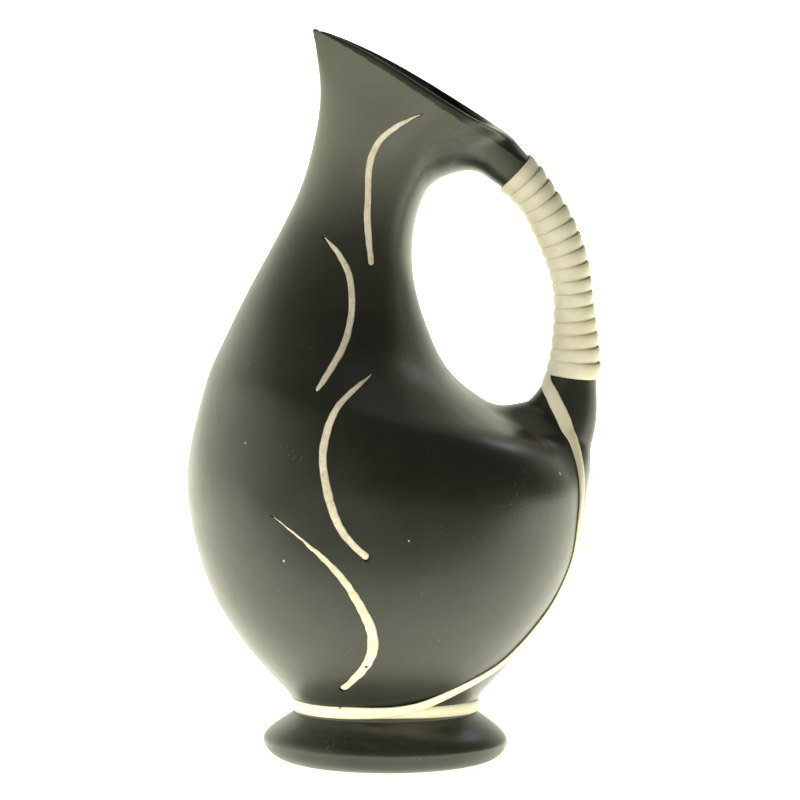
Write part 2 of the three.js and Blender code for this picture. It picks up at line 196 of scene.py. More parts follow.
def natural_spline(rows):
    """A smooth curve through rows of numbers, as a function of a place: 0 at the first row, 1 at the next."""
    rows = np.array(rows, float)
    count = len(rows)
    system = np.eye(count)
    for i in range(1, count - 1):
        system[i, i - 1:i + 2] = (1, 4, 1)
    bend = np.zeros_like(rows)
    bend[1:-1] = 6 * (rows[2:] - 2 * rows[1:-1] + rows[:-2])
    bend = np.linalg.solve(system, bend)

    def at(place):
        place = np.clip(np.asarray(place, float), 0, count - 1)
        i = np.minimum(place.astype(int), count - 2)
        b = (place - i)[..., None]
        a = 1 - b
        return rows[i] * a + rows[i + 1] * b + (bend[i] * (a ** 3 - a) + bend[i + 1] * (b ** 3 - b)) / 6

    return at


body_at = natural_spline(BODY)
handle_at = natural_spline(HANDLE)
MOUTH = len(BODY) - 1


class Table:
    """Numbers worked out on a grid over XZ, and read between its points by smooth cubic steps."""

    X_FROM, X_TO, Z_FROM, Z_TO = -100, 110, 5, 300

    def __init__(self, work_out):
        x = np.arange(self.X_FROM, self.X_TO + 1.0)
        z = np.arange(self.Z_FROM, self.Z_TO + 1.0)
        self.values = work_out(*np.meshgrid(x, z, indexing="ij"))

    def __call__(self, x, z):
        across = np.clip(x - self.X_FROM, 1, self.X_TO - self.X_FROM - 2.001)
        up = np.clip(z - self.Z_FROM, 1, self.Z_TO - self.Z_FROM - 2.001)
        i, j = across.astype(int), up.astype(int)
        across_weights, up_weights = cubic_weights(across - i), cubic_weights(up - j)
        total = 0
        for a in range(4):
            for b in range(4):
                weight = (across_weights[a] * up_weights[b])[..., None]
                total = total + weight * self.values[i + a - 1, j + b - 1]
        return total


def cubic_weights(t):
    return ((-t + 2 * t ** 2 - t ** 3) / 2, (2 - 5 * t ** 2 + 3 * t ** 3) / 2,
            (t + 4 * t ** 2 - 3 * t ** 3) / 2, (-t ** 2 + t ** 3) / 2)


def station_of(x, z):
    """Which cross-section of the pot each point lies in."""
    low, high = np.zeros_like(x), np.full_like(x, MOUTH)
    for _ in range(26):
        middle = (low + high) / 2
        section = body_at(middle)
        left_x, left_z, right_x, right_z = (section[..., k] for k in range(4))
        above = (right_x - left_x) * (z - left_z) - (right_z - left_z) * (x - left_x) > 0
        low, high = np.where(above, middle, low), np.where(above, high, middle)
    return low[..., None]


HANDLE_LINE = handle_at(np.linspace(0, len(HANDLE) - 1, 1400))
HANDLE_RUN = np.concatenate([[0], np.cumsum(np.hypot(*np.diff(HANDLE_LINE[:, :2], axis=0).T))])


def handle_plane(run):
    """Middle, outward direction and half-thicknesses of the handle, a distance along it."""
    rows = np.stack([np.interp(run, HANDLE_RUN, HANDLE_LINE[:, k]) for k in range(4)], -1)
    ahead = np.stack([np.interp(np.add(run, 0.4), HANDLE_RUN, HANDLE_LINE[:, k]) for k in range(2)], -1)
    behind = np.stack([np.interp(np.add(run, -0.4), HANDLE_RUN, HANDLE_LINE[:, k]) for k in range(2)], -1)
    down = ahead - behind
    down /= np.linalg.norm(down, axis=-1, keepdims=True)
    out = np.stack([-down[..., 1], down[..., 0]], -1)
    return rows, out, down


def nearest_on_handle(x, z):
    """How far along the handle's middle line the nearest place on it is, and how far away that is."""
    best = np.full(x.shape, 1e9)
    run = np.zeros(x.shape)
    for k in range(0, len(HANDLE_LINE), 4):
        distance = np.hypot(x - HANDLE_LINE[k, 0], z - HANDLE_LINE[k, 1])
        nearer = distance < best
        best = np.where(nearer, distance, best)
        run = np.where(nearer, HANDLE_RUN[k], run)
    for _ in range(3):
        rows, _, down = handle_plane(run)
        offset = np.stack([x, z], -1) - rows[..., :2]
        run = np.clip(run + (offset * down).sum(-1), 0, HANDLE_RUN[-1])
    offset = np.stack([x, z], -1) - handle_plane(run)[0][..., :2]
    return np.stack([run, np.linalg.norm(offset, axis=-1)], -1)


station_table = Table(station_of)
handle_table = Table(nearest_on_handle)

# ---------------------------------------------------------------- the clay as one field, below 0 inside it


def oval_gap(share, breadth, half, size):
    """About how far a point is outside an oval cross-section."""
    ring = np.hypot(share, breadth)
    slope = np.hypot(share / half, breadth / size)
    return (ring - 1) * ring / (slope + 1e-6)


def smooth_least(a, b, reach):
    mix = np.clip(0.5 + 0.5 * (b - a) / reach, 0, 1)
    return b + (a - b) * mix - reach * mix * (1 - mix)


def smooth_most(a, b, reach):
    return -smooth_least(-a, -b, reach)


def section_at(x, z, station=None):
    """Everything about the pot's cross-section through each point."""
    if station is None:
        station = station_table(x, z)[..., 0]
    left_x, left_z, right_x, right_z, depth, beak = np.moveaxis(body_at(station), -1, 0)
    across_x, across_z = right_x - left_x, right_z - left_z
    half = np.hypot(across_x, across_z) / 2
    along_x, along_z = across_x / (2 * half), across_z / (2 * half)
    off_x, off_z = x - (left_x + right_x) / 2, z - (left_z + right_z) / 2
    share = (off_x * along_x + off_z * along_z) / half
    size = depth * (1 + np.clip(beak, 0, 1) * np.clip(share, -0.96, 1))
    return station, share, half, size


def askew(x, z):
    """How much faster the pot's field grows than distance does, where sections lie askew to the skin."""
    _, share, half, _ = section_at(x, z, station_of(x, z)[..., 0])
    growth = [np.hypot(*np.gradient((sign * share - 1) * half)) for sign in (-1, 1)]
    mix = np.clip(share * 1.6 + 0.5, 0, 1)
    return np.clip(growth[0] * (1 - mix) + growth[1] * mix, 1, 4)[..., None]


askew_table = Table(askew)


def above_mouth(x, z):
    """How far points are above the flat plane of the mouth."""
    left_x, left_z, right_x, right_z = BODY[-1][:4]
    across_x, across_z = right_x - left_x, right_z - left_z
    return ((z - left_z) * across_x - (x - left_x) * across_z) / math.hypot(across_x, across_z)


def clay(points, hollow=True):
    """The field of the jug's clay: pot and handle run together, hollowed, and cut off at the mouth."""
    x, y, z = points[..., 0], points[..., 1], points[..., 2]
    station, share, half, size = section_at(x, z)
    pot = oval_gap(share, y / size, half, size)
    sideways = share ** 2 / (share ** 2 + (y / size) ** 2 + 1e-6)
    fading = np.clip((ASKEW_UNTIL - x) / ASKEW_FADE, 0, 1)
    pot /= 1 + (askew_table(x, z)[..., 0] - 1) * sideways * fading
    run, away = np.moveaxis(handle_table(x, z), -1, 0)
    thick, wide = (np.interp(run, HANDLE_RUN, HANDLE_LINE[:, k]) for k in (2, 3))
    handle = oval_gap(away / thick, y / wide, thick, wide)
    fillet = NECK_FILLET + (ROOT_FILLET - NECK_FILLET) * np.clip((run - 40) / 60, 0, 1)
    skin = smooth_least(pot, handle, fillet)
    if not hollow:
        return skin
    wall = WALL + (LIP_WALL - WALL) * (station / MOUTH) ** 3
    room = smooth_most(pot + wall, CAVITY_FLOOR - z, CAVITY_ROUNDING)
    lift = LIP_CROWN * (1 - share ** 2) * (1 - share) * (np.abs(share) < 1)
    return smooth_most(np.maximum(skin, -room), above_mouth(x, z) - lift, LIP_ROUNDING)


def skin_of(points):
    return clay(points, hollow=False)


def slope_of(field, points, step=0.1):
    """The field's slope at each point."""
    slope = np.empty_like(points)
    for axis in range(3):
        shift = np.zeros(3)
        shift[axis] = step
        slope[:, axis] = (field(points + shift) - field(points - shift)) / (2 * step)
    return slope


def settle(field, points, rounds=3, most=1.0):
    """Moves points onto the field's surface."""
    points = points.copy()
    for _ in range(rounds):
        slope = slope_of(field, points)
        steepness = np.maximum((slope ** 2).sum(-1, keepdims=True), 0.05)
        move = -field(points)[:, None] * slope / steepness
        length = np.linalg.norm(move, axis=-1, keepdims=True)
        points += move * np.minimum(1, most / np.maximum(length, 1e-9))
    return points


def facing(field, points):
    slope = slope_of(field, points)
    return slope / np.maximum(np.linalg.norm(slope, axis=-1, keepdims=True), 1e-9)


# ---------------------------------------------------------------- meshing the field


CORNERS = [(i, j, k) for i in (0, 1) for j in (0, 1) for k in (0, 1)]
EDGES = [(a, b) for a in range(8) for b in range(a + 1, 8)
         if sum(abs(CORNERS[a][k] - CORNERS[b][k]) for k in range(3)) == 1]


def mesh_field(field, low, high, step):
    """Points and four-sided faces of the field's surface, one point in each grid cell that it crosses."""
    axes = [np.arange(low[k], high[k] + step, step) for k in range(3)]
    shape = tuple(len(a) for a in axes)
    values = np.empty(shape)
    for i, x in enumerate(axes[0]):
        y, z = np.meshgrid(axes[1], axes[2], indexing="ij")
        values[i] = field(np.stack([np.full_like(y, x), y, z], -1))
    inside = values < 0
    cells = tuple(n - 1 for n in shape)

    def corner(array, c):
        return array[c[0]:c[0] + cells[0], c[1]:c[1] + cells[1], c[2]:c[2] + cells[2]]

    filled = sum(corner(inside, c).astype(int) for c in CORNERS)
    crossed = (filled > 0) & (filled < 8)
    index = np.full(cells, -1)
    index[crossed] = np.arange(crossed.sum())
    at_corner = np.stack([corner(values, c)[crossed] for c in CORNERS], -1)
    total = np.zeros((len(at_corner), 3))
    count = np.zeros(len(at_corner))
    for a, b in EDGES:
        start, end = at_corner[:, a], at_corner[:, b]
        cuts = (start < 0) != (end < 0)
        share = np.where(cuts, start / np.where(cuts, start - end, 1), 0)[:, None]
        place = np.array(CORNERS[a]) * (1 - share) + np.array(CORNERS[b]) * share
        total += place * cuts[:, None]
        count += cuts
    base = np.argwhere(crossed)
    points = (base + total / count[:, None]) * step + np.array([a[0] for a in axes])

    faces = []
    for axis in range(3):
        others = [k for k in range(3) if k != axis]
        here = [slice(1, -1)] * 3
        ahead = [slice(1, -1)] * 3
        here[axis], ahead[axis] = slice(0, -1), slice(1, None)
        start, end = inside[tuple(here)], inside[tuple(ahead)]
        places = np.argwhere(start != end)
        outward = start[tuple(places.T)]
        for k in others:
            places[:, k] += 1
        ring = []
        for a, b in ((0, 0), (1, 0), (1, 1), (0, 1)):
            cell = places.copy()
            cell[:, others[0]] -= a
            cell[:, others[1]] -= b
            ring.append(index[tuple(cell.T)])
        quads = np.stack(ring, -1)
        turn = outward if axis != 1 else ~outward
        quads[~turn] = quads[~turn][:, ::-1]
        faces.append(quads)
    return points, np.concatenate(faces)


def relax(points, faces, share):
    """Moves each point towards the middle of its neighbours."""
    total = np.zeros_like(points)
    count = np.zeros(len(points))
    for a, b in ((0, 1), (1, 2), (2, 3), (3, 0)):
        for start, end in ((a, b), (b, a)):
            np.add.at(total, faces[:, start], points[faces[:, end]])
            np.add.at(count, faces[:, start], 1)
    return points + (total / np.maximum(count, 1)[:, None] - points) * share


# ---------------------------------------------------------------- from millimetres to pieces


def to_frame(points):
    return np.asarray(points) * MM + np.array([AXIS_X, 0, 0])


def to_clay(points):
    return (np.asarray(points) - np.array([AXIS_X, 0, 0])) / MM


def mesh_from(name, points, faces):
    mesh = bpy.data.meshes.new(name)
    mesh.from_pydata(to_frame(points).tolist(), [], [tuple(int(i) for i in f) for f in faces])
    mesh.polygons.foreach_set("use_smooth", np.ones(len(mesh.polygons), bool))
    mesh.update()
    return mesh


def add_piece(name, mesh, material, slot, *nodes):
    piece = bpy.data.objects.new(name, mesh)
    bpy.context.scene.collection.objects.link(piece)
    mesh.materials.clear()
    mesh.materials.append(material)
    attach(piece, "root")
    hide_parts(*nodes)
    return piece


def coordinates(mesh):
    points = np.empty(len(mesh.vertices) * 3, np.float32)
    mesh.vertices.foreach_get("co", points)
    return to_clay(points.reshape(-1, 3).astype(float))


def shade_by_field(mesh):
    """Gives faces on the clay's skin the field's own normals, and leaves the rest to their faces."""
    points = coordinates(mesh)
    normals = facing(clay, points)
    on_skin = np.abs(clay(points)) < SKIN_GAP
    corners = np.empty(len(mesh.loops), np.int32)
    mesh.loops.foreach_get("vertex_index", corners)
    starts = np.empty(len(mesh.polygons), np.int32)
    sizes = np.empty(len(mesh.polygons), np.int32)
    mesh.polygons.foreach_get("loop_start", starts)
    mesh.polygons.foreach_get("loop_total", sizes)
    flat = np.empty(len(mesh.polygons) * 3, np.float32)
    mesh.polygons.foreach_get("normal", flat)
    flat = flat.reshape(-1, 3)
    face_of = np.repeat(np.arange(len(sizes)), sizes)
    if not np.array_equal(np.argsort(starts), np.arange(len(starts))):
        raise ValueError("faces out of order")
    skin_share = np.bincount(face_of, on_skin[corners], len(sizes)) / sizes
    agree = (normals[corners] * flat[face_of]).sum(-1)
    agreement = np.bincount(face_of, agree, len(sizes)) / sizes
    smooth_face = (skin_share > 0.99) & (agreement > 0.6)
    own = np.zeros_like(points)
    rough = ~smooth_face[face_of]
    np.add.at(own, corners[rough], flat[face_of[rough]])
    own /= np.maximum(np.linalg.norm(own, axis=-1, keepdims=True), 1e-9)
    result = np.where(rough[:, None], own[corners], normals[corners])
    closing_face = (sizes > MOST_CORNERS)[face_of]
    result = np.where(closing_face[:, None], flat[face_of], result)
    mesh.normals_split_custom_set(result.tolist())


# ---------------------------------------------------------------- the clay skin


def refine(mesh, near):
    """Halves the edges of a region, and settles the points on the clay."""
    chosen = near(coordinates(mesh))
    bm = bmesh.new()
    bm.from_mesh(mesh)
    edges = [e for e in bm.edges if chosen[e.verts[0].index] and chosen[e.verts[1].index]]
    bmesh.ops.subdivide_edges(bm, edges=edges, cuts=1, use_grid_fill=True)
    bm.to_mesh(mesh)
    bm.free()
    points = settle(clay, coordinates(mesh), rounds=2)
    mesh.vertices.foreach_set("co", to_frame(points).astype(np.float32).ravel())
    mesh.update()


def whole_skin():
    """The pot and handle as one mesh, left open a little below the waist."""
    low, high = (-80, -79, WAIST_Z - 4), (84, 79, 284)
    points, faces = mesh_field(clay, low, high, MESH_STEP)
    for share in (0.6, 0.5, 0.4):
        points = settle(clay, points, rounds=1)
        points = relax(points, faces, share)
    points = settle(clay, points, rounds=4)
    mesh = mesh_from("skin", points, faces)
    for reach in (5, 2.6):
        refine(mesh, lambda p: np.abs(above_mouth(p[:, 0], p[:, 2])) < reach)
    return mesh


def face_middles(bm):
    """The middle of each face, in millimetres about the foot's axis."""
    mesh = bpy.data.meshes.new("scratch")
    bm.to_mesh(mesh)
    middles = np.empty(len(mesh.polygons) * 3, np.float32)
    mesh.polygons.foreach_get("center", middles)
    bpy.data.meshes.remove(mesh)
    return to_clay(middles.reshape(-1, 3).astype(float))


def cut_handle(bm, run):
    """Adds a ring of edges square across the handle, a distance along it."""
    rows, _, down = handle_plane(run)
    middles = face_middles(bm)
    near = np.hypot(middles[:, 0] - rows[0], middles[:, 2] - rows[1]) < rows[2] + 9
    near &= np.abs(middles[:, 1]) < rows[3] + 9
    bm.faces.ensure_lookup_table()
    faces = [bm.faces[i] for i in np.flatnonzero(near)]
    geometry = list({v for f in faces for v in f.verts}) + list({e for f in faces for e in f.edges}) + faces
    place = to_frame((rows[0], 0, rows[1]))
    bmesh.ops.bisect_plane(bm, geom=geometry, plane_co=place, plane_no=(down[0], 0, down[1]), dist=1e-6)


def closed_part(bm, keep):
    """A mesh of some of the faces, with its openings closed."""
    part = bm.copy()
    part.faces.ensure_lookup_table()
    dropped = [part.faces[i] for i in np.flatnonzero(~keep)]
    bmesh.ops.delete(part, geom=dropped, context="FACES")
    loose = [v for v in part.verts if not v.link_faces]
    bmesh.ops.delete(part, geom=loose, context="VERTS")
    bmesh.ops.holes_fill(part, edges=[e for e in part.edges if e.is_boundary], sides=0)
    bmesh.ops.recalc_face_normals(part, faces=part.faces[:])
    mesh = bpy.data.meshes.new("part")
    part.to_mesh(mesh)
    part.free()
    return mesh


def split_handle(mesh):
    """Two closed meshes: the pot with the handle's two stumps, and the handle between them."""
    bm = bmesh.new()
    bm.from_mesh(mesh)
    everything = bm.verts[:] + bm.edges[:] + bm.faces[:]
    bottom = bmesh.ops.bisect_plane(bm, geom=everything, plane_co=to_frame((0, 0, WAIST_Z)),
                                    plane_no=(0, 0, 1), dist=1e-6, clear_inner=True)
    rim = [g for g in bottom["geom_cut"] if isinstance(g, bmesh.types.BMEdge)]
    bmesh.ops.contextual_create(bm, geom=rim)
    for run in HANDLE_CUTS:
        cut_handle(bm, run)
    middles = face_middles(bm)
    run, away = np.moveaxis(handle_table(middles[:, 0], middles[:, 2]), -1, 0)
    between = (run > HANDLE_CUTS[0]) & (run < HANDLE_CUTS[1]) & (away < 20)
    between &= np.abs(middles[:, 1]) < 24
    halves = closed_part(bm, ~between), closed_part(bm, between)
    bm.free()
    return halves


# ---------------------------------------------------------------- gouged strokes


def wander(count, seed, knots, amount):
    """Smooth random numbers about 0."""
    rng = np.random.default_rng(seed)
    values = rng.uniform(-amount, amount, (max(4, knots), 1))
    return natural_spline(values)(np.linspace(0, len(values) - 1, count))[:, 0]


def stroke_frames(rows, side):
    """Closely spaced points down a stroke's middle, with the directions across it and out of the clay."""
    line = natural_spline(rows)
    coarse = line(np.linspace(0, len(rows) - 1, 400))
    run = np.concatenate([[0], np.cumsum(np.hypot(*np.diff(coarse[:, :2], axis=0).T))])
    count = int(run[-1] / 0.7)
    at = np.linspace(0, run[-1], count)
    x, z, width = (np.interp(at, run, coarse[:, k]) for k in range(3))
    _, share, _, size = section_at(x, z)
    y = side * size * np.sqrt(np.maximum(0.01, 1 - share ** 2))
    points = settle(skin_of, np.stack([x, y, z], -1))
    normals = facing(skin_of, points)
    forward = np.gradient(points, axis=0)
    forward /= np.linalg.norm(forward, axis=-1, keepdims=True)
    across = np.cross(forward, normals)
    across /= np.linalg.norm(across, axis=-1, keepdims=True)
    return points, normals, across, width, at


GROOVE_SHARES = np.array([-1, -0.82, -0.5, 0, 0.5, 0.82, 1])
GROOVE_FORM = np.array([0, 0.55, 0.92, 1, 0.92, 0.55, 0])


def closed_tube(rings):
    """Faces of a closed skin over equal rings of points, with a face at each end."""
    count, sides = rings.shape[:2]
    faces = []
    for i in range(count - 1):
        for j in range(sides):
            k = (j + 1) % sides
            faces.append((i * sides + j, i * sides + k, (i + 1) * sides + k, (i + 1) * sides + j))
    faces.append(tuple(reversed(range(sides))))
    faces.append(tuple((count - 1) * sides + j for j in range(sides)))
    points = rings.reshape(-1, 3)
    if volume(points, faces) < 0:
        faces = [tuple(reversed(f)) for f in faces]
    return points, faces


def volume(points, faces):
    corners = np.array([(f[0], f[i], f[i + 1]) for f in faces for i in range(1, len(f) - 1)])
    a, b, c = (points[corners[:, k]] for k in range(3))
    return (a * np.cross(b, c)).sum() / 6


def groove_edges(index, side, count, width):
    """Half-widths to the left and right, a little ragged, as a hand tool leaves them."""
    ragged = 0.09 if index < 3 else 0.2
    seed = 40 * index + (7 if side > 0 else 0)
    edges = []
    for k in (1, 2):
        edge = width / 2 + wander(count, seed + k, count // 3, ragged) + wander(count, seed + k + 9, 12, 0.14)
        edges.append(np.maximum(edge, 0.22))
    return edges


def groove_depth(width):
    return np.clip(width * 0.36, 0.25, 1.15)


def groove_rings(index, side, frames, margin):
    """Cross-sections of the cutter: the gouge's bottom, closed well above the skin."""
    points, normals, across, width, _ = frames
    left, right = groove_edges(index, side, len(points), width)
    depth = groove_depth(width)
    rings = []
    for share, form in zip(GROOVE_SHARES, GROOVE_FORM):
        offset = np.where(share < 0, left, right) * share
        rings.append(points + across * offset[:, None] - normals * (depth * form + 0.02)[:, None])
    for share in (1, -1):
        offset = np.where(share < 0, left, right) * share
        rings.append(points + across * offset[:, None] + normals * margin)
    return np.stack(rings, 1)


def filling_rings(index, side, frames):
    """Cross-sections of the slip: it fills the gouge to a little below the skin, unevenly."""
    points, normals, across, width, at = frames
    keep = (width > 0.72) & (at > 1.4) & (at < at[-1] - 0.4)
    count = len(points)
    left, right = groove_edges(index, side, count, width)
    depth = groove_depth(width)
    seed = 500 + 40 * index + (7 if side > 0 else 0)
    level = 0.2 + wander(count, seed, count // 4, 0.07)
    level = np.minimum(level, depth * 0.45)
    rings = []
    reach = 0.93
    for share, form in zip(GROOVE_SHARES * reach, GROOVE_FORM):
        offset = np.where(share < 0, left, right) * share
        down = np.maximum(depth * form, level) + 0.07
        rings.append(points + across * offset[:, None] - normals * down[:, None])
    for k, share in enumerate((0.96, 0.6, 0.25, -0.1, -0.45, -0.7, -0.96)):
        offset = np.where(share < 0, left, right) * share
        rise = wander(count, seed + 20 + k, count // 3, 0.05) * (abs(share) < 0.9)
        dome = 0.1 * (1 - share ** 2)
        rings.append(points + across * offset[:, None] - normals * (level - rise - dome)[:, None])
    rings = np.stack(rings, 1)[keep]
    start = np.clip((np.arange(len(rings)) + 0.3) / 9, 0, 1)
    end = np.clip((len(rings) - 0.7 - np.arange(len(rings))) / 1.5, 0, 1)
    fullness = np.sqrt(np.minimum(start, end))[:, None, None]
    middle = rings.mean(1, keepdims=True)
    return middle + (rings - middle) * fullness


def boolean_cut(mesh, cutters):
    """The mesh less a set of closed cutters."""
    subject = bpy.data.objects.new("subject", mesh)
    tool = bpy.data.objects.new("tool", cutters)
    for o in (subject, tool):
        bpy.context.scene.collection.objects.link(o)
    cut = subject.modifiers.new("cut", "BOOLEAN")
    cut.object = tool
    cut.operation = "DIFFERENCE"
    cut.solver = "MANIFOLD"
    graph = bpy.context.evaluated_depsgraph_get()
    result = bpy.data.meshes.new_from_object(subject.evaluated_get(graph))
    bpy.data.objects.remove(subject)
    bpy.data.objects.remove(tool)
    return result


def joined_tubes(tubes):
    points, faces, start = [], [], 0
    for ring_set in tubes:
        tube_points, tube_faces = closed_tube(ring_set)
        points.append(tube_points)
        faces += [tuple(i + start for i in f) for f in tube_faces]
        start += len(tube_points)
    return np.concatenate(points), faces


# ---------------------------------------------------------------- strip


def strip_section(width, thickness):
    """One cross-section of the strip, slightly domed: offsets across it and heights above its back."""
    half, edge = width / 2, 0.28
    across = [-half + edge, -half, -half + 0.05, -half + edge, -half * 0.5, 0, half * 0.5, half - edge,
              half - 0.05, half, half - edge]
    height = [0, 0.2, thickness * 0.55, thickness * 0.8, thickness * 1.18, thickness * 1.3,
              thickness * 1.18, thickness * 0.8, thickness * 0.55, 0.2, 0]
    return np.array(across), np.array(height)


def strip_mesh(backs, normals, widths, tilt, thickness):
    """A closed strip along a row of points on its back. tilt raises the side that is at -across."""
    forward = np.gradient(backs, axis=0)
    forward /= np.linalg.norm(forward, axis=-1, keepdims=True)
    across = np.cross(forward, normals)
    across /= np.linalg.norm(across, axis=-1, keepdims=True)
    face = np.cross(across, forward)
    rings = []
    for i in range(len(backs)):
        offsets, heights = strip_section(widths[i], thickness)
        lift = heights + tilt[i] * (0.5 + offsets / widths[i])
        rings.append(backs[i] + across[i] * offsets[:, None] + face[i] * lift[:, None])
    return closed_tube(np.stack(rings))


def binding_mesh():
    turn = np.linspace(WRAP_START, WRAP_TURNS, WRAP_TURNS * WRAP_STEPS + 1)
    wobble = wander(len(turn), 11, WRAP_TURNS * 3, 0.22)
    mostly_behind = WRAP_DRIFT * (1 - np.cos(turn * 2 * math.pi)) / (2 * math.pi)
    run = WRAP_FROM + (turn + mostly_behind) * WRAP_PITCH + wobble
    angle = math.pi - turn * 2 * math.pi
    rows, out, _ = handle_plane(run)
    wide, thick = rows[:, 3], rows[:, 2]
    place = rows[:, :2] + out * (np.cos(angle) * thick)[:, None]
    guess = np.stack([place[:, 0], np.sin(angle) * wide, place[:, 1]], -1)
    points = settle(skin_of, guess)
    normals = facing(skin_of, points)
    widths = np.full(len(turn), BINDING_WIDTH) + wander(len(turn), 12, WRAP_TURNS * 2, 0.12)
    tilt = (STRIP_THICKNESS + 0.2) * np.clip(turn - 0.3, 0, 1)
    return strip_mesh(points + normals * 0.04, normals, widths, tilt, STRIP_THICKNESS)


def leave_clay(angle, z):
    """Where lines from the foot's axis at a height leave the clay for the last time."""
    direction = np.stack([np.cos(angle), np.sin(angle)], -1)
    steps = np.arange(110, 5, -0.5)
    points = np.zeros((len(z), len(steps), 3))
    points[..., :2] = direction[:, None] * steps[None, :, None]
    points[..., 2] = np.asarray(z)[:, None]
    inside = skin_of(points) < 0
    first = inside.argmax(1)
    return points[np.arange(len(z)), first]


def waist_strip_mesh():
    runs = np.array([r[0] for r in ROOT_ROUTE], float)
    angles = np.radians([r[1] for r in ROOT_ROUTE])
    rows, out, _ = handle_plane(runs)
    place = rows[:, :2] + out * (np.cos(angles) * rows[:, 2])[:, None]
    root = np.stack([place[:, 0], np.sin(angles) * rows[:, 3], place[:, 1]], -1)
    pot = leave_clay(np.radians([-r[0] for r in POT_ROUTE]), [r[1] for r in POT_ROUTE])
    points = settle(skin_of, np.concatenate([root, pot]), rounds=5)
    lift = np.array([0.0] * len(ROOT_ROUTE) + [r[2] for r in POT_ROUTE])
    line = natural_spline(np.column_stack([points, lift]))
    fine = line(np.linspace(0, len(points) - 1, 4000))
    run = np.concatenate([[0], np.cumsum(np.linalg.norm(np.diff(fine[:, :3], axis=0), axis=1))])
    at = np.arange(0, run[-1], 1.1)
    route = np.stack([np.interp(at, run, fine[:, k]) for k in range(4)], -1)
    points = settle(skin_of, route[:, :3])
    normals = facing(skin_of, points)
    for _ in range(6):
        normals[1:-1] = (normals[:-2] + 2 * normals[1:-1] + normals[2:]) / 4
    normals /= np.linalg.norm(normals, axis=-1, keepdims=True)
    backs = points + normals * (0.03 + np.maximum(0, route[:, 3]))[:, None]
    start, end = TAKEN_IN_BETWEEN
    taken_in = WAIST_STRIP_TAKEN_IN * np.clip((at - start) / (end - start), 0, 1)
    widths = WAIST_STRIP_WIDTH - taken_in + wander(len(at), 21, 30, 0.1)
    return strip_mesh(backs, normals, widths, np.zeros(len(at)), STRIP_THICKNESS)


# ---------------------------------------------------------------- foot


def foot_mesh(sides=220):
    """The turned foot, a little uneven as a cast and hand-finished foot is."""
    hollow = natural_spline(FOOT_HOLLOW)(np.linspace(0, len(FOOT_HOLLOW) - 1, 30))
    outer = natural_spline(FOOT_OUTLINE)(np.linspace(0, len(FOOT_OUTLINE) - 1, 96))
    profile = np.concatenate([hollow, STANDING_RING, outer, FOOT_TOP])
    angle = np.linspace(0, 2 * math.pi, sides, endpoint=False)
    radius, height = profile[:, 0], profile[:, 1]
    free = np.clip((height - 1.5) / 3, 0, 1) * np.clip((WAIST_Z - 1 - height) / 3, 0, 1)
    uneven = 0.16 * np.sin(2 * angle[None] + 0.7 + height[:, None] * 0.13)
    uneven += 0.07 * np.sin(5 * angle[None] + 2)
    reach = radius[:, None] + uneven * free[:, None]
    leaning = np.clip(height / 3, 0, 1) * np.clip((18 - height) / 8, 0, 1)
    lean = FOOT_LEAN * reach * np.cos(angle) * leaning[:, None]
    points = np.stack([reach * np.cos(angle), reach * np.sin(angle), height[:, None] - lean], -1)
    faces = []
    for i in range(len(profile) - 1):
        for j in range(sides):
            k = (j + 1) % sides
            faces.append((i * sides + j, (i + 1) * sides + j, (i + 1) * sides + k, i * sides + k))
    faces.append(tuple(range(sides)))
    faces.append(tuple(reversed([(len(profile) - 1) * sides + j for j in range(sides)])))
    return points.reshape(-1, 3), faces


# ---------------------------------------------------------------- materials


def set_input(tree, socket, value):
    """Gives a node's input another node's output, or a plain value."""
    if isinstance(value, bpy.types.NodeSocket):
        tree.links.new(value, socket)
    else:
        socket.default_value = value


def smooth_range(tree, value, start, end, low, high):
    """low up to one value, high from another, and a smooth step between them."""
    node = tree.nodes.new("ShaderNodeMapRange")
    node.interpolation_type = "SMOOTHSTEP"
    for name, limit in (("From Min", start), ("From Max", end), ("To Min", low), ("To Max", high)):
        node.inputs[name].default_value = limit
    tree.links.new(value, node.inputs["Value"])
    return node.outputs["Result"]


